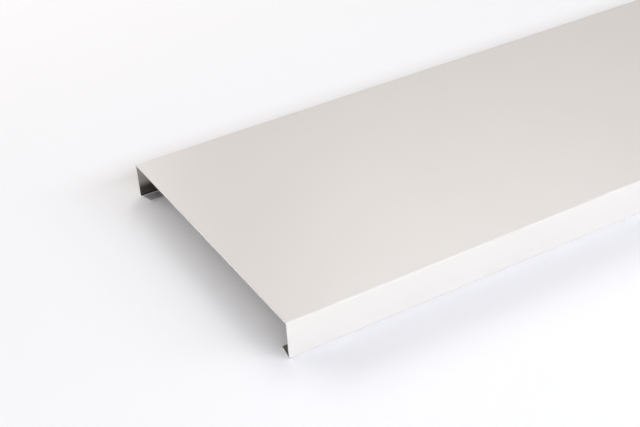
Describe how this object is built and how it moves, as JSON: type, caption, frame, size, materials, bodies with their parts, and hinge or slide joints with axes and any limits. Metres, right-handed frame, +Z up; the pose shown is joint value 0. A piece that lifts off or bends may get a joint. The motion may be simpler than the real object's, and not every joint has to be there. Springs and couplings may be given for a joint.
{
  "type": "wall coping",
  "caption": "Folded sheet-metal wall coping with a flat deck, legs down both sides and small drip lips turned inward.",
  "frame": {"origin": "under the middle of the deck, on the plane of the lips' undersides", "axes": "+X along the length, +Y across the wall towards the rear leg, +Z up through the deck"},
  "size_m": [2, 0.3, 0.036],
  "materials": {
    "coated_sheet": "off-white satin coat on the outside, grey metal on the inside"
  },
  "bodies": {
    "root": {"coping_sheet": "coated_sheet"}
  },
  "joints": []
}
